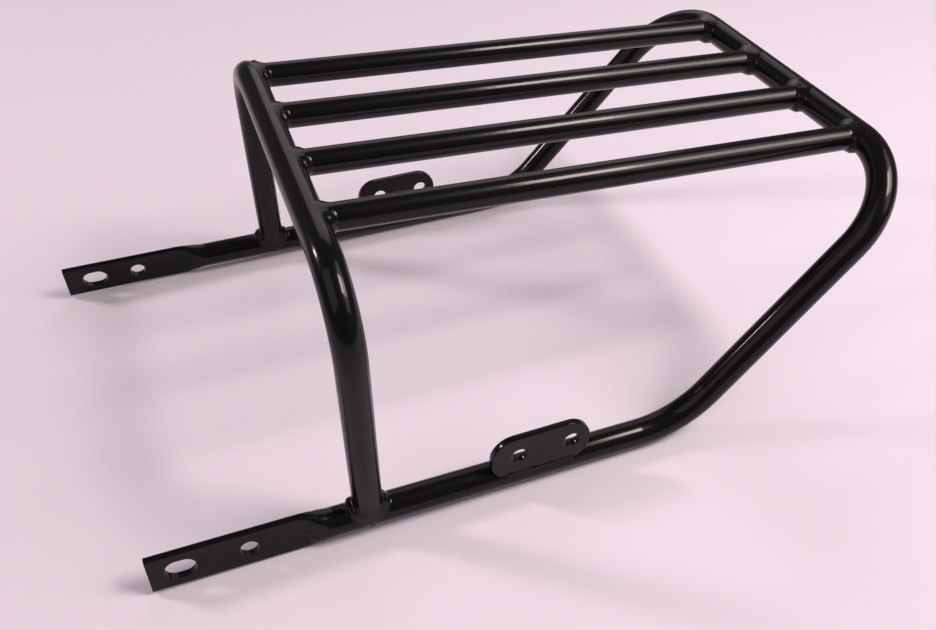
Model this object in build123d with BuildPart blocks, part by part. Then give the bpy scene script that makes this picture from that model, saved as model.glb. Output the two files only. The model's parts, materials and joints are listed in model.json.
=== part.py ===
"""Motorcycle luggage rack: a bent tube frame that carries a deck of slats.

Millimetres. X runs to the rear of the motorcycle, Y to its right-hand side, Z up.
The origin is under the middle of the rack, on the surface that it stands on.
"""

import math
import os

from build123d import *

# Tubes
frame_od = 16.0
frame_wall = 2.0
slat_od = 14.0
slat_wall = 1.5

# Frame, measured between tube axes
deck_length = 312.0
hoop_height = 165.3
rear_bar_height = 143.3
rail_spacing = 256.0
hoop_spacing = 239.6
hoop_shift = 16.3  # from the rack's middle to the left, to the middle of the hoop's bar
rear_spacing = 249.0
arm_run = 124.6  # from the lower bend back to the rear bar
left_reach = 113.6  # from the hoop forward to the end of the left rail
right_reach = 142.6
lower_bend_radius = 58.0
rear_bend_radius = 47.5
hoop_bend_radius = 38.0

# Flattened rail ends
flat_width = 24.0
flat_length = 76.0
flat_lean = 6.0  # degrees that each flat's upper edge leans inward
neck_length = 19.0  # from the flat to the full round
slot_length = 16.0
slot_width = 12.0
left_slot_setback = 15.9  # from the end of the rail to the middle of the slot
right_slot_setback = 19.0
end_hole_od = 10.0
left_hole_pitch = 34.5  # from the slot to the round hole
right_hole_pitch = 28.5

# Deck slats
slat_count = 4
slat_pitch = 50.7

# Bolt tabs on the rails
tab_length = 58.0
tab_thickness = 4.0
tab_foot = 2.0  # plate's lower edge above the rail's axis
tab_height = 32.3  # its upper edge above the rail's axis
tab_inset = 1.5  # from the rail's outer side inward to the plate's outer face
tab_setback = 96.7  # from the hoop back to the middle of the tab
tab_corner_radius = 13.5
tab_hole_od = 9.0
tab_hole_pitch = 31.0
tab_hole_height = 18.8  # above the rail's axis
tab_hole_shift = 2.6  # from the middle of the tab back to the middle of its holes

# Weld beads
slat_bead_height = 2.4  # crown of the bead above the slat
slat_bead_width = 9.0  # along the slat
slat_bead_leg = 3.0  # the part of that width that is clear of the bar
foot_bead_height = 3.6  # crown of the bead beside the hoop's leg
foot_bead_leg = 5.0  # up the leg, past the rail
foot_bead_start = 1.0  # above the rail's axis
foot_bead_spread = 3.0  # around the rail
tab_bead_length = 40.0
tab_bead_radius = 2.0

# Sizes that follow
frame_radius = frame_od / 2
slat_radius = slat_od / 2
flat_thickness = 2 * frame_wall
neck_steps = 4
tab_outer = frame_radius - tab_inset  # plate's outer face, from the rail's axis
tab_inner = tab_outer - tab_thickness
left, right = -1, 1
side_names = {left: "left", right: "right"}
reach = {left: left_reach, right: right_reach}
slot_setback = {left: left_slot_setback, right: right_slot_setback}
hole_pitch = {left: left_hole_pitch, right: right_hole_pitch}
hoop_shoulder = {side: side * hoop_spacing / 2 - hoop_shift for side in (left, right)}

# The rack stands on the lower edges of its flat ends and on the undersides of its lower bends,
# so the rails fall slightly to the rear.
arm_angle = math.atan2(rear_bar_height - frame_radius, arm_run)
bend_start = deck_length - arm_run - lower_bend_radius * math.tan(arm_angle / 2)
rest_run = bend_start - (flat_length - left_reach)
lean = math.radians(flat_lean)
flat_depth = (flat_width - flat_thickness) / 2 * math.cos(lean) + flat_thickness / 2
rail_slope = math.atan((flat_depth - frame_radius) / rest_run)
rail_direction = Vector(math.cos(rail_slope), 0, -math.sin(rail_slope))
rail_upward = Vector(math.sin(rail_slope), 0, math.cos(rail_slope))

front_overhang = right_reach + flat_depth * math.sin(rail_slope)
overall_length = front_overhang + deck_length + frame_radius
hoop_x = front_overhang - overall_length / 2
rear_x = hoop_x + deck_length


def rail_point(side, distance):
    """Point on a rail's axis, at a distance behind the hoop."""
    height = frame_radius + (bend_start - distance) * math.tan(rail_slope)
    return Vector(hoop_x + distance, side * rail_spacing / 2, height)


def end_plane(side, setback):
    """Plane across a rail, set back from its front end, with its x axis up the flat."""
    origin = rail_point(side, -reach[side]) + rail_direction * setback
    upward = rail_upward * math.cos(lean) - Vector(0, side, 0) * math.sin(lean)
    return Plane(origin=origin, x_dir=upward, z_dir=rail_direction)


def face_plane(side, setback):
    """Plane in the middle of a flat, with its x axis along the rail."""
    across = end_plane(side, setback)
    return Plane(origin=across.origin, x_dir=rail_direction, z_dir=across.y_dir)


def bent_rod(points, bend_radii, radius):
    """Solid round bar along straight runs joined by bends."""
    with BuildPart() as rod:
        with BuildLine() as route:
            FilletPolyline(*points, radius=bend_radii)
        with BuildSketch(Plane(origin=route.line @ 0, z_dir=route.line % 0)):
            Circle(radius)
        sweep(path=route.line)
    return rod.part


def neck_section(share, inset):
    """Width and thickness of a rail's neck, from the flat at 0 to the round at 1."""
    blend = share * share * (3 - 2 * share)
    width = flat_width + (frame_od - flat_width) * blend
    thickness = flat_thickness + (frame_od - flat_thickness) * blend
    return width - 2 * inset, thickness - 2 * inset


def neck(side, first_step, inset):
    """Rail's change from flat to round, or with an inset the space inside it."""
    with BuildPart() as shape:
        for step in range(first_step, neck_steps + 1):
            share = step / neck_steps
            with BuildSketch(end_plane(side, flat_length + neck_length * share)):
                if step == neck_steps:
                    Circle(frame_radius - inset)
                else:
                    SlotOverall(*neck_section(share, inset))
        loft()
    return shape.part


loop_bends = [lower_bend_radius, rear_bend_radius, rear_bend_radius, lower_bend_radius]
loop_points = [
    end_plane(left, flat_length + neck_length).origin,
    rail_point(left, deck_length - arm_run),
    Vector(rear_x, left * rear_spacing / 2, rear_bar_height),
    Vector(rear_x, right * rear_spacing / 2, rear_bar_height),
    rail_point(right, deck_length - arm_run),
    end_plane(right, flat_length + neck_length).origin,
]
hoop_bends = [hoop_bend_radius, hoop_bend_radius]
hoop_points = [
    rail_point(left, 0),
    Vector(hoop_x, hoop_shoulder[left], hoop_height),
    Vector(hoop_x, hoop_shoulder[right], hoop_height),
    rail_point(right, 0),
]
hoop_rod = bent_rod(hoop_points, hoop_bends, frame_radius)

# Outer form of the main loop, which every piece that is welded to it is shaped to fit
with BuildPart() as loop_form:
    add(bent_rod(loop_points, loop_bends, frame_radius))
    for side in (left, right):
        add(neck(side, 0, 0))
        with BuildSketch(end_plane(side, 0)):
            SlotOverall(flat_width, flat_thickness)
        extrude(amount=flat_length)

os.makedirs("parts", exist_ok=True)

# Main loop: one bent tube, rails, rear arms and rear bar, pressed flat at both front ends
with BuildPart() as main_loop:
    add(loop_form.part)
    add(bent_rod(loop_points, loop_bends, frame_radius - frame_wall), mode=Mode.SUBTRACT)
    for side in (left, right):
        add(neck(side, 1, frame_wall), mode=Mode.SUBTRACT)
        with BuildSketch(face_plane(side, slot_setback[side])):
            SlotOverall(slot_length, slot_width)
        with BuildSketch(face_plane(side, slot_setback[side] + hole_pitch[side])):
            Circle(end_hole_od / 2)
        extrude(amount=flat_thickness, both=True, mode=Mode.SUBTRACT)
main_loop.part.label = "main_loop"
export_step(main_loop.part, "parts/main_loop.step")

# Front hoop: a tube bent to an upturned U, its feet shaped to sit on the rails
with BuildPart() as front_hoop:
    add(hoop_rod)
    add(bent_rod(hoop_points, hoop_bends, frame_radius - frame_wall), mode=Mode.SUBTRACT)
    add(loop_form.part, mode=Mode.SUBTRACT)
front_hoop.part.label = "front_hoop"
export_step(front_hoop.part, "parts/front_hoop.step")


def ring_bead(axis_point, axis_direction, tube_radius, start, crown, height, end):
    """Weld bead round a tube: a low arch turned about the tube's axis."""
    sideways = Vector(0, 1, 0) - axis_direction * axis_direction.Y
    across = Plane(origin=axis_point, x_dir=axis_direction, z_dir=sideways)
    with BuildPart() as bead:
        with BuildSketch(across):
            with BuildLine():
                ThreePointArc((start, tube_radius), (crown, tube_radius + height), (end, tube_radius))
                Line((end, tube_radius), (start, tube_radius))
            make_face()
        revolve(axis=Axis(axis_point, axis_direction))
    return bead.part


# Deck slats: straight tubes shaped at both ends to sit between the hoop and the rear bar, with
# a weld bead round each end
slat_bead_end = frame_radius + slat_bead_leg
slat_bead_start = slat_bead_end - slat_bead_width
slat_bead_crown = (slat_bead_start + slat_bead_end) / 2
for index in range(slat_count):
    slat_y = (index - (slat_count - 1) / 2) * slat_pitch
    front_point = Vector(hoop_x, slat_y, hoop_height)
    rear_point = Vector(rear_x, slat_y, rear_bar_height)
    slat_direction = (rear_point - front_point).normalized()
    number = index + 1
    with BuildPart() as slat:
        with BuildSketch(Plane(origin=front_point, z_dir=slat_direction)):
            Circle(slat_radius)
            Circle(slat_radius - slat_wall, mode=Mode.SUBTRACT)
        extrude(amount=(rear_point - front_point).length)
        add(hoop_rod, mode=Mode.SUBTRACT)
        add(loop_form.part, mode=Mode.SUBTRACT)
    slat.part.label = f"slat_{number}"
    export_step(slat.part, f"parts/slat_{number}.step")

    bead_ends = {
        "front": (front_point, slat_direction, hoop_rod),
        "rear": (rear_point, -slat_direction, loop_form.part),
    }
    for end_name, (point, direction, bar) in bead_ends.items():
        with BuildPart() as slat_weld:
            add(ring_bead(point, direction, slat_radius, slat_bead_start, slat_bead_crown,
                          slat_bead_height, slat_bead_end))
            add(bar, mode=Mode.SUBTRACT)
        slat_weld.part.label = f"slat_{number}_{end_name}_weld"
        export_step(slat_weld.part, f"parts/slat_{number}_{end_name}_weld.step")

# Hoop welds: a bead round the foot of each leg, down over the rail
foot_bead_end = frame_radius + foot_bead_leg
for side in (left, right):
    foot = rail_point(side, 0)
    shoulder = Vector(hoop_x, hoop_shoulder[side], hoop_height)
    leg_direction = (shoulder - foot).normalized()
    rail_start = end_plane(side, flat_length + neck_length).origin
    rail_end = rail_point(side, deck_length - arm_run)
    with BuildPart() as hoop_weld:
        with BuildSketch(Plane(origin=rail_start, z_dir=rail_direction)):
            Circle(frame_radius + foot_bead_spread)
        extrude(amount=(rail_end - rail_start).length)
        add(ring_bead(foot, leg_direction, frame_radius, foot_bead_start, frame_radius,
                      foot_bead_height, foot_bead_end), mode=Mode.INTERSECT)
        add(loop_form.part, mode=Mode.SUBTRACT)
    hoop_weld.part.label = f"{side_names[side]}_hoop_weld"
    export_step(hoop_weld.part, f"parts/{side_names[side]}_hoop_weld.step")

# Bolt tabs: rounded plates with two holes, standing on the outer shoulders of the rails, each
# with a weld bead along either face
for side in (left, right):
    foot = rail_point(side, tab_setback)
    outward = Vector(0, side, 0)
    tab_middle = foot + outward * (tab_outer - tab_thickness / 2)
    with BuildPart() as tab:
        with BuildSketch(Plane(origin=tab_middle, x_dir=(1, 0, 0), z_dir=(0, -1, 0))):
            with Locations((0, (tab_foot + tab_height) / 2)):
                RectangleRounded(tab_length, tab_height - tab_foot, tab_corner_radius)
            with Locations((tab_hole_shift, tab_hole_height)):
                with GridLocations(tab_hole_pitch, 0, 2, 1):
                    Circle(tab_hole_od / 2, mode=Mode.SUBTRACT)
        extrude(amount=tab_thickness / 2, both=True)
        add(loop_form.part, mode=Mode.SUBTRACT)
    tab.part.label = f"{side_names[side]}_tab"
    export_step(tab.part, f"parts/{side_names[side]}_tab.step")

    bead_faces = {
        "inner": (tab_inner, -side),
        "outer": (tab_outer, side),
    }
    for face_name, (face_offset, facing) in bead_faces.items():
        seat = math.sqrt(frame_radius**2 - face_offset**2)
        bead_plane = Plane(
            origin=foot + outward * face_offset + rail_upward * seat,
            x_dir=rail_direction,
            z_dir=(0, -1, 0),
        )
        with BuildPart() as tab_weld:
            with BuildSketch(bead_plane):
                SlotOverall(tab_bead_length, 2 * tab_bead_radius)
                Rectangle(
                    tab_bead_length,
                    tab_bead_radius,
                    align=(Align.CENTER, Align.MAX),
                    mode=Mode.SUBTRACT,
                )
            revolve(axis=Axis(bead_plane.origin, rail_direction * -facing), revolution_arc=180)
            add(loop_form.part, mode=Mode.SUBTRACT)
        tab_weld.part.label = f"{side_names[side]}_tab_{face_name}_weld"
        export_step(tab_weld.part, f"parts/{side_names[side]}_tab_{face_name}_weld.step")
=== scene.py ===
"""Motorcycle luggage rack: gloss black paint over tubes, tabs and welds, and a plain stage."""

import json
import math
import random
from collections import namedtuple

import bmesh
import bpy
from bpy.props import FloatProperty, FloatVectorProperty, IntProperty, PointerProperty
from mathutils import Matrix, Vector


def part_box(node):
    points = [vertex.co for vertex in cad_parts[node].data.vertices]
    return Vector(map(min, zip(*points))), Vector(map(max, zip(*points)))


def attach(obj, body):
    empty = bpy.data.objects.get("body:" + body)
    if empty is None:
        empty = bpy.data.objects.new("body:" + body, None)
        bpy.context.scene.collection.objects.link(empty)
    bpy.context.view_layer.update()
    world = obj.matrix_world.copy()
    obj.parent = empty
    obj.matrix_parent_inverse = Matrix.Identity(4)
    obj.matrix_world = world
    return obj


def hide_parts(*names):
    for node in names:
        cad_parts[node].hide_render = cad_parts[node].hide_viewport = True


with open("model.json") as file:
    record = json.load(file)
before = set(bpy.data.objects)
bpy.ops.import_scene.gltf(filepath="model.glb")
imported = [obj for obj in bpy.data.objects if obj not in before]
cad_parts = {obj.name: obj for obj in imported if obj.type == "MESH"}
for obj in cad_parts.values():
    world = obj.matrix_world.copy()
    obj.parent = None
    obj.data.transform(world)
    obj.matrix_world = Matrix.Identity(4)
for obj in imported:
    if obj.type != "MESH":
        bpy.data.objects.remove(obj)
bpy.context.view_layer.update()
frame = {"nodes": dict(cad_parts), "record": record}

bl_info = {
    "name": "Luggage rack dressing",
    "version": (1, 0, 0),
    "blender": (4, 5, 0),
    "location": "3D View > Sidebar > Rack",
    "description": "Paints a welded tube rack, models its welds and tabs and sets its stage",
    "category": "Object",
}

MM = 0.001
BODY = "root"
PAINT_SLOT = "black_paint"
WELD_SLOT = "painted_weld"
SLAT_COUNT = 4
SIDES = {"left": -1, "right": 1}
UPRIGHT = Matrix.Rotation(math.radians(90), 4, "X")

# Tubes, measured on the solids
hoop_low, hoop_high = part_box("front_hoop")
loop_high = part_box("main_loop")[1]
slat_low, slat_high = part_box("slat_1")
FRAME_RADIUS = (hoop_high.x - hoop_low.x) / 2
SLAT_RADIUS = (slat_high.y - slat_low.y) / 2
HOOP_X = (hoop_low.x + hoop_high.x) / 2
HOOP_HEIGHT = hoop_high.z - FRAME_RADIUS
REAR_X = loop_high.x - FRAME_RADIUS
REAR_HEIGHT = loop_high.z - FRAME_RADIUS
RAIL_Y = loop_high.y - FRAME_RADIUS

# Rails and the hoop's shoulders, as the solids have them
RAIL_SLOPE = math.radians(1.1325)
RAIL_HEIGHT_AT_HOOP = 11.2 * MM
HOOP_SPACING = 239.6 * MM
HOOP_SHIFT = 16.3 * MM
RAIL_DIRECTION = Vector((math.cos(RAIL_SLOPE), 0, -math.sin(RAIL_SLOPE)))
RAIL_UPWARD = Vector((math.sin(RAIL_SLOPE), 0, math.cos(RAIL_SLOPE)))

# Camera, as fitted to the tubes' edges
CAMERA_PLACE = Vector((-138.11, -420.48, 407.56)) * MM
CAMERA_RIGHT = Vector((0.93646, -0.35068, -0.00843))
CAMERA_UP = Vector((0.23829, 0.61832, 0.74894))
SENSOR_WIDTH = 36.0

# Soft lamps, by the direction and the distance from the rack's middle
Lamp = namedtuple("Lamp", "name toward distance width height power color")
LAMP_TARGET = Vector((0.05, 0.0, 0.1))
WARM = (1.0, 0.87, 0.81)
ROSE = (1.0, 0.88, 0.86)
LAMPS = (
    Lamp("left_softbox", (-0.74, 0.43, 0.52), distance=2.0, width=0.22, height=0.38, power=14.0, color=WARM),
    Lamp("right_softbox", (0.47, -0.36, 0.8), distance=1.6, width=0.24, height=0.58, power=12.5, color=WARM),
    Lamp("rear_softbox", (0.65, -0.33, 0.68), distance=1.6, width=0.45, height=0.6, power=7.5, color=WARM),
    Lamp("wide_softbox", (0.65, -0.33, 0.68), distance=1.65, width=0.6, height=1.7, power=6.5, color=WARM),
    Lamp("back_softbox", (0.31, 0.78, 0.54), distance=2.0, width=1.3, height=1.3, power=6.2, color=ROSE),
    Lamp("front_softbox", (-0.6, -0.35, 0.72), distance=2.2, width=1.7, height=1.7, power=7.0, color=WARM),
)


class RackPaint(bpy.types.PropertyGroup):
    """Black paint on every piece of the rack."""

    color: FloatVectorProperty(
        name="Paint", description="Colour of the paint", subtype="COLOR", size=4,
        default=(0.0035, 0.0032, 0.0032, 1.0), min=0.0, max=1.0)
    roughness: FloatProperty(
        name="Roughness", description="Blur of the paint's broad sheen", subtype="FACTOR",
        default=0.3, min=0.0, max=1.0)
    sheen: FloatProperty(
        name="Sheen", description="Strength of the paint's broad sheen", subtype="FACTOR",
        default=0.05, min=0.0, max=1.0)
    coat: FloatProperty(
        name="Gloss coat", description="Strength of the sharper gloss over the sheen", subtype="FACTOR",
        default=0.4, min=0.0, max=1.0)
    coat_roughness: FloatProperty(
        name="Coat roughness", description="Blur of the sharper gloss", subtype="FACTOR",
        default=0.11, min=0.0, max=1.0)
    peel_size: FloatProperty(
        name="Orange peel", description="Spacing of the paint's slight waviness", unit="LENGTH",
        default=2.2 * MM)
    peel_depth: FloatProperty(
        name="Orange peel depth", description="Height of the paint's slight waviness", unit="LENGTH",
        default=0.012 * MM)


class RackWelds(bpy.types.PropertyGroup):
    """Weld beads at the slats, the hoop's feet and the bolt tabs."""

    slat_toe: FloatProperty(
        name="Slat toe", description="Reach of the bead along the slat, from the bar's axis", unit="LENGTH",
        default=11.8 * MM)
    slat_leg: FloatProperty(
        name="Slat bead leg", description="Reach of the bead along the bar", unit="LENGTH",
        default=4.0 * MM)
    slat_crown: FloatProperty(
        name="Slat bead crown", description="Bulge of the bead's face beside and under the slat",
        unit="LENGTH", default=1.5 * MM)
    front_top_leg: FloatProperty(
        name="Front top leg", description="Reach of a front bead over the bar's top", unit="LENGTH",
        default=3.4 * MM)
    front_top_crown: FloatProperty(
        name="Front top crown", description="Bulge of a front bead on the slat's top", unit="LENGTH",
        default=0.15 * MM)
    rear_top_leg: FloatProperty(
        name="Rear top leg", description="Reach of a rear bead over the bar's top", unit="LENGTH",
        default=6.0 * MM)
    rear_top_crown: FloatProperty(
        name="Rear top crown", description="Bulge of a rear bead on the slat's top", unit="LENGTH",
        default=0.6 * MM)
    foot_toe: FloatProperty(
        name="Foot toe", description="Reach of the bead up the hoop's leg, from the rail's axis",
        unit="LENGTH", default=13.0 * MM)
    foot_leg: FloatProperty(
        name="Foot bead leg", description="Reach of the bead along the rail", unit="LENGTH",
        default=5.0 * MM)
    foot_side_leg: FloatProperty(
        name="Foot side leg", description="Reach of the bead round the rail", unit="LENGTH",
        default=3.0 * MM)
    foot_front_crown: FloatProperty(
        name="Foot front crown", description="Bulge of the lump before the leg", unit="LENGTH",
        default=3.2 * MM)
    foot_rear_crown: FloatProperty(
        name="Foot rear crown", description="Bulge of the lump behind the leg", unit="LENGTH",
        default=1.8 * MM)
    tab_leg: FloatProperty(
        name="Tab bead leg", description="Reach of the bead up the tab and over the rail", unit="LENGTH",
        default=1.9 * MM)
    tab_crown: FloatProperty(
        name="Tab bead crown", description="Bulge of the bead's face", unit="LENGTH", default=0.5 * MM)
    ripple_pitch: FloatProperty(
        name="Ripple pitch", description="Spacing of the ripples along a bead", unit="LENGTH",
        default=2.6 * MM)
    ripple_depth: FloatProperty(
        name="Ripple depth", description="Height of the ripples, as a share of the crown", subtype="FACTOR",
        default=0.07, min=0.0, max=1.0)
    lump_depth: FloatProperty(
        name="Unevenness", description="Slow swelling of a bead along its run", subtype="FACTOR",
        default=0.3, min=0.0, max=1.0)
    ring_steps: IntProperty(
        name="Ring steps", description="Steps round a ring bead", default=150, min=24)
    run_steps: IntProperty(
        name="Run steps", description="Steps along a straight bead", default=120, min=24)
    section_steps: IntProperty(
        name="Section steps", description="Steps round a bead's section", default=22, min=8)


class RackTabs(bpy.types.PropertyGroup):
    """Bolt tabs on the rails."""

    height: FloatProperty(
        name="Height", description="Whole height of the plate", unit="LENGTH", default=30.3 * MM)
    corner_radius: FloatProperty(
        name="Corner radius", description="Radius of the plate's corners", unit="LENGTH",
        default=13.5 * MM)
    edge_radius: FloatProperty(
        name="Edge radius", description="Softening of the plate's edges under the paint", unit="LENGTH",
        default=0.6 * MM)
    rim_steps: IntProperty(
        name="Rim steps", description="Steps round the plate's outline and its holes", default=96, min=16)
    edge_steps: IntProperty(
        name="Edge steps", description="Steps round a softened edge", default=4, min=1)


class RackStage(bpy.types.PropertyGroup):
    """Floor, room light and camera."""

    floor_color: FloatVectorProperty(
        name="Floor", description="Colour of the floor", subtype="COLOR", size=4,
        default=(0.765, 0.716, 0.84, 1.0), min=0.0, max=1.0)
    floor_size: FloatProperty(
        name="Floor size", description="Side of the square floor", unit="LENGTH", default=12.0)
    floor_roughness: FloatProperty(
        name="Floor roughness", description="Dullness of the floor", subtype="FACTOR",
        default=0.9, min=0.0, max=1.0)
    floor_shine: FloatProperty(
        name="Floor shine", description="Strength of the floor's reflection", subtype="FACTOR",
        default=0.15, min=0.0, max=1.0)
    sky: FloatVectorProperty(
        name="Room light", description="Colour of the light from all round", subtype="COLOR", size=4,
        default=(1.0, 0.97, 0.98, 1.0), min=0.0, max=1.0)
    sky_strength: FloatProperty(
        name="Room light strength", description="Strength of the light from all round", default=0.13)
    lens: FloatProperty(
        name="Lens", description="Focal length of the camera on a 36 mm sensor", unit="CAMERA",
        default=34.826)


class RackSettings(bpy.types.PropertyGroup):
    """All settings of the rack."""

    paint: PointerProperty(type=RackPaint)
    welds: PointerProperty(type=RackWelds)
    tabs: PointerProperty(type=RackTabs)
    stage: PointerProperty(type=RackStage)


def rack():
    """The scene's settings."""
    return bpy.context.scene.luggage_rack


# Materials


def paint_material(name):
    """Gloss black paint with a slight orange peel."""
    settings = rack().paint
    material = bpy.data.materials.new(name)
    material.use_nodes = True
    nodes = material.node_tree.nodes
    links = material.node_tree.links
    shader = nodes["Principled BSDF"]
    shader.inputs["Base Color"].default_value = settings.color
    shader.inputs["Roughness"].default_value = settings.roughness
    shader.inputs["Specular IOR Level"].default_value = settings.sheen
    shader.inputs["Coat Weight"].default_value = settings.coat
    shader.inputs["Coat Roughness"].default_value = settings.coat_roughness
    place = nodes.new("ShaderNodeTexCoord")
    peel = nodes.new("ShaderNodeTexNoise")
    peel.inputs["Scale"].default_value = 1.0 / settings.peel_size
    peel.inputs["Detail"].default_value = 1.0
    bump = nodes.new("ShaderNodeBump")
    bump.inputs["Distance"].default_value = settings.peel_depth
    links.new(place.outputs["Object"], peel.inputs["Vector"])
    links.new(peel.outputs["Fac"], bump.inputs["Height"])
    links.new(bump.outputs["Normal"], shader.inputs["Normal"])
    links.new(bump.outputs["Normal"], shader.inputs["Coat Normal"])
    return material


def floor_material():
    """Plain matt floor."""
    settings = rack().stage
    material = bpy.data.materials.new("pale_floor")
    material.use_nodes = True
    shader = material.node_tree.nodes["Principled BSDF"]
    shader.inputs["Base Color"].default_value = settings.floor_color
    shader.inputs["Roughness"].default_value = settings.floor_roughness
    shader.inputs["Specular IOR Level"].default_value = settings.floor_shine
    return material


def paint_for(slot):
    """The paint of a slot, made once."""
    return bpy.data.materials.get("paint_" + slot) or paint_material("paint_" + slot)


def new_piece(name, bm, replaced, slot):
    """Turns a bmesh into a piece that stands for a CAD node."""
    bmesh.ops.recalc_face_normals(bm, faces=bm.faces)
    mesh = bpy.data.meshes.new(name)
    bm.to_mesh(mesh)
    bm.free()
    piece = bpy.data.objects.new(name, mesh)
    bpy.context.scene.collection.objects.link(piece)
    mesh.materials.append(paint_for(slot))
    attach(piece, BODY)
    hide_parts(replaced)


# Weld beads

# A bead's section at one place along its seam: the curve of its face from toe to toe (0 to 1),
# the way that its face looks, and the bulge of that face
Section = namedtuple("Section", "face outward crown")
TOE_DEPTH = 0.04 * MM  # toes end just under the metal's surface
BACK_DEPTH = 1.0 * MM  # the bead's back lies inside the metal
SKIN = 0.14 * MM  # least depth of a bead's middle over both tubes
SWELLS = (2, 3, 5)  # slow waves along a bead
TRAIL = 1.1  # each ripple trails back at the bead's toes, by this turn
SPUN_RADIUS = 4.0  # of the unit ring's sweep, before it is shaped
END_FULLNESS = 0.25  # size of a straight bead at its ends, as a share of its full size


def curve(first, corner, last, share):
    """Point of a smooth curve that leaves first and reaches last along the lines to the corner."""
    return first * (1 - share) ** 2 + corner * (2 * share * (1 - share)) + last * share ** 2


class Swelling:
    """Slow, repeatable unevenness along a bead, about -1 to 1."""

    def __init__(self, seed):
        draw = random.Random(seed)
        self.waves = [(turns, draw.uniform(0, math.tau)) for turns in SWELLS]

    def at(self, angle):
        return sum(math.sin(turns * angle + phase) for turns, phase in self.waves) / len(self.waves)


class TubeSeam:
    """Seam round a tube whose end meets a bar.

    Local Z runs up the tube, local X across tube and bar, and local Y along the bar.
    """

    def __init__(self, point, tube_direction, bar_direction, tube_radius, bar_radius):
        up = tube_direction.normalized()
        across = bar_direction.cross(up).normalized()
        along = up.cross(across)
        bar = Vector(bar_direction.normalized().dot(axis) for axis in (across, along, up))
        self.place = Matrix.Translation(point) @ Matrix((across, along, up)).transposed().to_4x4()
        self.bar = bar
        self.bar_upward = Vector((0, -bar.z, bar.y))
        self.tube_radius = tube_radius
        self.bar_radius = bar_radius

    def bar_normal(self, turn):
        """Way that the bar's surface faces, at an angle from up the tube to across it."""
        return Vector((math.sin(turn), 0, 0)) + self.bar_upward * math.cos(turn)

    def bar_turn(self, angle):
        """Angle round the bar at which the tube's wall meets it."""
        return math.asin(max(-1.0, min(1.0, self.tube_radius * math.cos(angle) / self.bar_radius)))

    def cleared(self, point, skin):
        """The point, moved out of the tube and the bar where it lies less than a skin off them."""
        wall = Vector((point.x, point.y, 0))
        point = point + wall.normalized() * max(0.0, self.tube_radius + skin - wall.length)
        off_bar = point - self.bar * point.dot(self.bar)
        return point + off_bar.normalized() * max(0.0, self.bar_radius + skin - off_bar.length)

    def section(self, angle, toe_height, bar_leg, crown):
        """Section of a bead at an angle round the tube.

        Its upper toe lies at toe_height over the bar's axis, and its lower one bar_leg from the crease.
        """
        wall_normal = Vector((math.cos(angle), math.sin(angle), 0))
        wall = wall_normal * self.tube_radius
        turn = self.bar_turn(angle)
        height = (self.bar_radius * math.cos(turn) + self.bar.z * wall.y) / self.bar.y
        crease = wall + Vector((0, 0, height))
        tube_toe = wall + Vector((0, 0, toe_height))
        widest = self.bar_turn(0) * self.bar_radius
        spread = Vector((self.tube_radius * math.cos(angle), widest * math.sin(angle))).normalized()
        toe_normal = self.bar_normal(turn + spread.x * bar_leg / self.bar_radius)
        bar_toe = self.bar * (crease.dot(self.bar) + spread.y * bar_leg) + toe_normal * self.bar_radius
        outward = (wall_normal + self.bar_normal(turn)).normalized()

        def face(share):
            return self.cleared(curve(tube_toe, crease, bar_toe, share), SKIN * math.sin(math.pi * share))

        return Section(face, outward, crown)


class TabSeam:
    """Straight seam along one face of a tab that stands on a rail, from 0 to 1."""

    def __init__(self, start, run, facing, offset):
        self.start = start
        self.run = run
        self.facing = Vector((0, facing, 0))
        self.offset = offset

    def section(self, share, leg, crown):
        """Section of a bead that narrows to a round end at both ends of the seam."""
        from_end = min(share, 1 - share) * self.run.length
        roundness = math.sqrt(max(0.0, 1 - max(0.0, 1 - from_end / leg) ** 2))
        fullness = END_FULLNESS + (1 - END_FULLNESS) * roundness
        leg = leg * fullness
        axis = self.start + self.run * share
        turn = math.asin(self.offset / FRAME_RADIUS)
        toe_turn = turn + leg / FRAME_RADIUS
        normal, toe_normal = (
            self.facing * math.sin(angle) + RAIL_UPWARD * math.cos(angle) for angle in (turn, toe_turn))
        corner = axis + normal * FRAME_RADIUS
        tab_toe = corner + RAIL_UPWARD * leg
        rail_toe = axis + toe_normal * FRAME_RADIUS
        outward = (normal + self.facing).normalized()
        return Section(lambda across: curve(tab_toe, corner, rail_toe, across), outward, crown * fullness)


def slat_sections(seam, top_leg, top_crown):
    """Sections round a slat's end, by the angle, with a leg and a crown of their own on its top."""
    settings = rack().welds
    top = math.copysign(1, seam.place.col[0].z)

    def section_at(angle):
        topness = max(0.0, top * math.cos(angle)) ** 2
        leg = settings.slat_leg + (top_leg - settings.slat_leg) * topness
        crown = settings.slat_crown + (top_crown - settings.slat_crown) * topness
        return seam.section(angle, settings.slat_toe, leg, crown)

    return section_at


def foot_sections(seam):
    """Sections round a foot of the hoop, by the angle, with a lump before and behind the leg."""
    settings = rack().welds

    def section_at(angle):
        toward_rear = math.sin(angle)
        lump = settings.foot_rear_crown if toward_rear > 0 else settings.foot_front_crown
        leg_gain = settings.foot_leg - settings.foot_side_leg
        leg = settings.foot_side_leg + leg_gain * toward_rear ** 2
        return seam.section(angle, settings.foot_toe, leg, lump * toward_rear ** 2)

    return section_at


def tab_sections(seam):
    """Sections along a face of a tab, by the share of the seam."""
    settings = rack().welds
    return lambda share: seam.section(share, settings.tab_leg, settings.tab_crown)


def bead_point(section, out, across, uneven):
    """Point of a bead: its face curves from toe to toe, and its back lies inside the metal."""
    share = (1 - across) / 2
    bulge = section.crown * uneven * math.sin(math.pi * share) ** 2
    lift = bulge if out > 0 else out * BACK_DEPTH
    return section.face(share) + section.outward * (lift - TOE_DEPTH)


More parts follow.
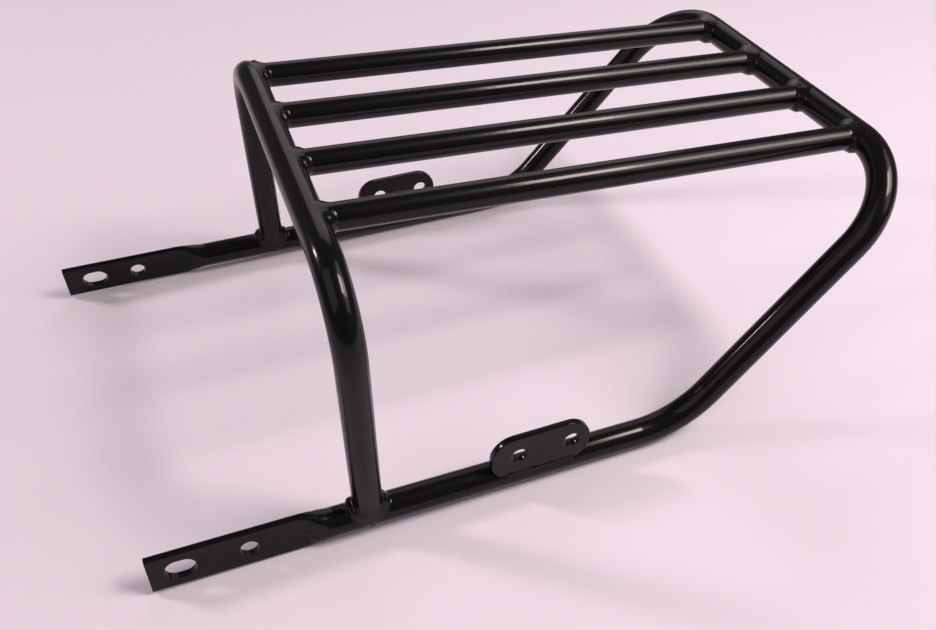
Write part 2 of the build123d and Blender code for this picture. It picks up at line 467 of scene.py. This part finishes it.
def section_ring(bm):
    """Unit ring in the XZ plane, from which a bead's section is shaped."""
    bmesh.ops.create_circle(bm, segments=rack().welds.section_steps, radius=1.0, matrix=UPRIGHT)


def shape_bead(bm, seed, length, locate):
    """Shapes a swept unit ring into a rippled bead.

    locate gives, for a swept point, its turn along the seam (0 to a full circle), its place
    out of the metal and across the seam (-1 to 1), and the seam's section there.
    """
    settings = rack().welds
    swelling = Swelling(seed)
    ripples = round(length / settings.ripple_pitch)
    for vert in bm.verts:
        turn, out, across, section = locate(vert.co)
        ripple = math.cos(ripples * turn + TRAIL * across ** 2)
        uneven = 1 + settings.lump_depth * swelling.at(turn) + settings.ripple_depth * ripple
        vert.co = bead_point(section, out, across, uneven)
    for face in bm.faces:
        face.smooth = True


def ring_bead(seam, seed, sections):
    """Bead round a tube's end: a unit ring spun round the tube and shaped to the seam."""
    bm = bmesh.new()
    section_ring(bm)
    bmesh.ops.translate(bm, vec=(SPUN_RADIUS, 0, 0), verts=bm.verts)
    bmesh.ops.spin(bm, geom=bm.verts[:] + bm.edges[:], cent=(0, 0, 0), axis=(0, 0, 1), dvec=(0, 0, 0),
                   angle=math.tau, steps=rack().welds.ring_steps, use_merge=True)

    def locate(spot):
        angle = math.atan2(spot.y, spot.x)
        return angle, spot.xy.length - SPUN_RADIUS, spot.z, sections(angle)

    shape_bead(bm, seed, math.tau * seam.tube_radius, locate)
    bmesh.ops.transform(bm, matrix=seam.place, verts=bm.verts)
    return bm


def run_bead(seam, seed, sections):
    """Bead along a straight seam: a unit ring swept along it, closed at both ends and shaped."""
    steps = rack().welds.run_steps
    bm = bmesh.new()
    section_ring(bm)
    bmesh.ops.spin(bm, geom=bm.verts[:] + bm.edges[:], cent=(0, 0, 0), axis=(0, 1, 0), dvec=(0, 1, 0),
                   angle=0, steps=steps, use_merge=False)
    ends = bmesh.ops.holes_fill(bm, edges=[edge for edge in bm.edges if edge.is_boundary])["faces"]

    def locate(spot):
        share = spot.y / steps
        return share * math.tau, spot.x, spot.z, sections(share)

    shape_bead(bm, seed, seam.run.length, locate)
    bmesh.ops.triangulate(bm, faces=ends)
    return bm


# Bolt tabs


def edge_profile(thickness):
    """Insets and depths from one face of a plate to the other, round its softened edges."""
    settings = rack().tabs
    turns = [math.radians(90) * step / settings.edge_steps for step in range(settings.edge_steps + 1)]
    front = [(settings.edge_radius * (1 - math.sin(turn)),
              thickness / 2 - settings.edge_radius * (1 - math.cos(turn))) for turn in turns]
    return front + [(inset, -depth) for inset, depth in reversed(front)]


def plate_rim(bm, profile, spot_at):
    """Wall of a plate's outline or of a hole, as a swept ring; returns the edges at both faces."""
    steps = rack().tabs.rim_steps
    half_step = Matrix.Rotation(math.pi / steps, 4, "Z")
    ring = bmesh.ops.create_circle(bm, segments=steps, radius=1.0, matrix=half_step)["verts"]
    edges = list({edge for vert in ring for edge in vert.link_edges})
    first = len(bm.verts) - len(ring)
    last_edges = bmesh.ops.spin(bm, geom=ring + edges, cent=(0, 0, 0), axis=(0, 0, 1), dvec=(0, 0, 1),
                                angle=0, steps=len(profile) - 1, use_merge=False)["geom_last"]
    bm.verts.ensure_lookup_table()
    for vert in bm.verts[first:]:
        inset, depth = profile[round(vert.co.z)]
        vert.co = (*spot_at(vert.co.xy.normalized(), inset), depth)
    return edges, [item for item in last_edges if isinstance(item, bmesh.types.BMEdge)]


def tab_plate(length, thickness, holes, hole_radius):
    """Rounded plate with holes and softened edges, flat in XY about its own middle."""
    settings = rack().tabs
    straight = Vector((length / 2 - settings.corner_radius, settings.height / 2 - settings.corner_radius))

    def outline(way, inset):
        corner = Vector((math.copysign(straight.x, way.x), math.copysign(straight.y, way.y)))
        return corner + way * (settings.corner_radius - inset)

    bm = bmesh.new()
    profile = edge_profile(thickness)
    front_edges, back_edges = plate_rim(bm, profile, outline)
    for hole in holes:
        front, back = plate_rim(bm, profile, lambda way, inset: hole + way * (hole_radius + inset))
        front_edges += front
        back_edges += back
    for face in bm.faces:
        face.smooth = True
    for edges in (front_edges, back_edges):
        bmesh.ops.triangle_fill(bm, edges=edges, use_beauty=True, normal=(0, 0, 1))
    return bm


def rail_height(x):
    """Height of a rail's axis."""
    return RAIL_HEIGHT_AT_HOOP - (x - HOOP_X) * math.tan(RAIL_SLOPE)


# Stage


def softbox(lamp):
    """Rectangular soft lamp that faces the rack, its width along the rack's length."""
    toward = Vector(lamp.toward).normalized()
    across = (Vector((1, 0, 0)) - toward * toward.x).normalized()
    light = bpy.data.lights.new(lamp.name, "AREA")
    light.shape = "RECTANGLE"
    light.size = lamp.width
    light.size_y = lamp.height
    light.energy = lamp.power
    light.color = lamp.color
    item = bpy.data.objects.new(lamp.name, light)
    turn = Matrix((across, toward.cross(across), toward)).transposed()
    item.matrix_world = Matrix.Translation(LAMP_TARGET + toward * lamp.distance) @ turn.to_4x4()
    bpy.context.scene.collection.objects.link(item)


def camera_place():
    """Camera's place and turn."""
    back = CAMERA_RIGHT.cross(CAMERA_UP)
    turn = Matrix((CAMERA_RIGHT, CAMERA_UP, back)).transposed()
    return Matrix.Translation(CAMERA_PLACE) @ turn.to_4x4()


# Operators


class RACK_OT_paint_tubes(bpy.types.Operator):
    """Paints the main loop, the hoop and the slats"""

    bl_idname = "rack.paint_tubes"
    bl_label = "Paint tubes"

    def execute(self, context):
        for name, node in frame["nodes"].items():
            if not name.endswith(("_weld", "_tab")):
                for slot in node.material_slots:
                    slot.material = paint_for(PAINT_SLOT)
        return {"FINISHED"}


class RACK_OT_tabs(bpy.types.Operator):
    """Models the bolt tabs with softened edges"""

    bl_idname = "rack.tabs"
    bl_label = "Bolt tabs"

    def execute(self, context):
        settings = rack().tabs
        mounts = {mount["name"]: mount for mount in frame["record"]["mounts"]}
        for side_name in SIDES:
            node = f"{side_name}_tab"
            low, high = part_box(node)
            middle = Vector(((low.x + high.x) / 2, (low.y + high.y) / 2, high.z - settings.height / 2))
            bolts = mounts[node + "_bolts"]
            bolt_middle = Vector(bolts["pos_m"]) - middle
            half_pitch = bolts["dims"]["spacing_x_mm"] * MM / 2
            holes = [Vector((bolt_middle.x + step * half_pitch, bolt_middle.z)) for step in (-1, 1)]
            bm = tab_plate(high.x - low.x, high.y - low.y, holes, bolts["dims"]["hole_r_mm"] * MM)
            bmesh.ops.transform(bm, matrix=Matrix.Translation(middle) @ UPRIGHT, verts=bm.verts)
            new_piece(node + "_plate", bm, node, PAINT_SLOT)
        return {"FINISHED"}


class RACK_OT_slat_welds(bpy.types.Operator):
    """Models the bead round each end of each slat"""

    bl_idname = "rack.slat_welds"
    bl_label = "Slat welds"

    def execute(self, context):
        settings = rack().welds
        sideways = Vector((0, 1, 0))
        for number in range(1, SLAT_COUNT + 1):
            low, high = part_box(f"slat_{number}")
            slat_y = (low.y + high.y) / 2
            front = Vector((HOOP_X, slat_y, HOOP_HEIGHT))
            rear = Vector((REAR_X, slat_y, REAR_HEIGHT))
            ends = (
                ("front", front, rear, settings.front_top_leg, settings.front_top_crown),
                ("rear", rear, front, settings.rear_top_leg, settings.rear_top_crown),
            )
            for end_name, point, other, top_leg, top_crown in ends:
                seam = TubeSeam(point, other - point, sideways, SLAT_RADIUS, FRAME_RADIUS)
                sections = slat_sections(seam, top_leg, top_crown)
                node = f"slat_{number}_{end_name}_weld"
                bm = ring_bead(seam, f"slat {number} {end_name}", sections)
                new_piece(node + "_bead", bm, node, WELD_SLOT)
        return {"FINISHED"}


class RACK_OT_hoop_welds(bpy.types.Operator):
    """Models the bead round each foot of the hoop"""

    bl_idname = "rack.hoop_welds"
    bl_label = "Hoop welds"

    def execute(self, context):
        for side_name, side in SIDES.items():
            foot = Vector((HOOP_X, side * RAIL_Y, RAIL_HEIGHT_AT_HOOP))
            shoulder = Vector((HOOP_X, side * HOOP_SPACING / 2 - HOOP_SHIFT, HOOP_HEIGHT))
            seam = TubeSeam(foot, shoulder - foot, RAIL_DIRECTION, FRAME_RADIUS, FRAME_RADIUS)
            node = f"{side_name}_hoop_weld"
            bm = ring_bead(seam, f"hoop {side_name}", foot_sections(seam))
            new_piece(node + "_bead", bm, node, WELD_SLOT)
        return {"FINISHED"}


class RACK_OT_tab_welds(bpy.types.Operator):
    """Models the beads along both faces of each bolt tab"""

    bl_idname = "rack.tab_welds"
    bl_label = "Tab welds"

    def execute(self, context):
        for side_name, side in SIDES.items():
            tab_low, tab_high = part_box(f"{side_name}_tab")
            inner_y, outer_y = sorted((tab_low.y, tab_high.y), key=abs)
            for face_name, face_y, facing in (("inner", inner_y, -side), ("outer", outer_y, side)):
                node = f"{side_name}_tab_{face_name}_weld"
                low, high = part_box(node)
                start = Vector((low.x, side * RAIL_Y, rail_height(low.x)))
                end = Vector((high.x, side * RAIL_Y, rail_height(high.x)))
                seam = TabSeam(start, end - start, facing, (face_y - side * RAIL_Y) * facing)
                bm = run_bead(seam, f"{side_name} {face_name}", tab_sections(seam))
                new_piece(node + "_bead", bm, node, WELD_SLOT)
        return {"FINISHED"}


class RACK_OT_stage(bpy.types.Operator):
    """Sets the floor, the lamps and the camera"""

    bl_idname = "rack.stage"
    bl_label = "Stage"

    def execute(self, context):
        settings = rack().stage
        scene = context.scene
        scene.view_settings.view_transform = "Standard"
        bm = bmesh.new()
        bmesh.ops.create_grid(bm, x_segments=1, y_segments=1, size=settings.floor_size / 2)
        mesh = bpy.data.meshes.new("floor")
        bm.to_mesh(mesh)
        bm.free()
        floor = bpy.data.objects.new("floor", mesh)
        mesh.materials.append(floor_material())
        scene.collection.objects.link(floor)

        world = bpy.data.worlds.new("room")
        world.use_nodes = True
        background = world.node_tree.nodes["Background"]
        background.inputs["Color"].default_value = settings.sky
        background.inputs["Strength"].default_value = settings.sky_strength
        scene.world = world

        for lamp in LAMPS:
            softbox(lamp)

        camera = bpy.data.objects.new("camera", bpy.data.cameras.new("camera"))
        camera.data.lens = settings.lens
        camera.data.sensor_width = SENSOR_WIDTH
        camera.matrix_world = camera_place()
        scene.collection.objects.link(camera)
        scene.camera = camera
        return {"FINISHED"}


class RACK_PT_panel(bpy.types.Panel):
    """Lists the rack's steps and settings"""

    bl_idname = "RACK_PT_panel"
    bl_label = "Luggage rack"
    bl_space_type = "VIEW_3D"
    bl_region_type = "UI"
    bl_category = "Rack"

    def draw(self, context):
        for operator in OPERATORS:
            self.layout.operator(operator.bl_idname)
        settings = rack()
        for group in (settings.paint, settings.welds, settings.tabs, settings.stage):
            column = self.layout.column()
            for name in group.bl_rna.properties.keys():
                if name not in ("rna_type", "name"):
                    column.prop(group, name)


OPERATORS = (
    RACK_OT_paint_tubes,
    RACK_OT_tabs,
    RACK_OT_slat_welds,
    RACK_OT_hoop_welds,
    RACK_OT_tab_welds,
    RACK_OT_stage,
)
CLASSES = (RackPaint, RackWelds, RackTabs, RackStage, RackSettings, *OPERATORS, RACK_PT_panel)


def register():
    for item in CLASSES:
        bpy.utils.register_class(item)
    bpy.types.Scene.luggage_rack = PointerProperty(type=RackSettings)


def unregister():
    del bpy.types.Scene.luggage_rack
    for item in reversed(CLASSES):
        bpy.utils.unregister_class(item)


def main():
    register()
    bpy.ops.rack.paint_tubes()
    bpy.ops.rack.tabs()
    bpy.ops.rack.slat_welds()
    bpy.ops.rack.hoop_welds()
    bpy.ops.rack.tab_welds()
    bpy.ops.rack.stage()


if __name__ == "__main__":
    main()
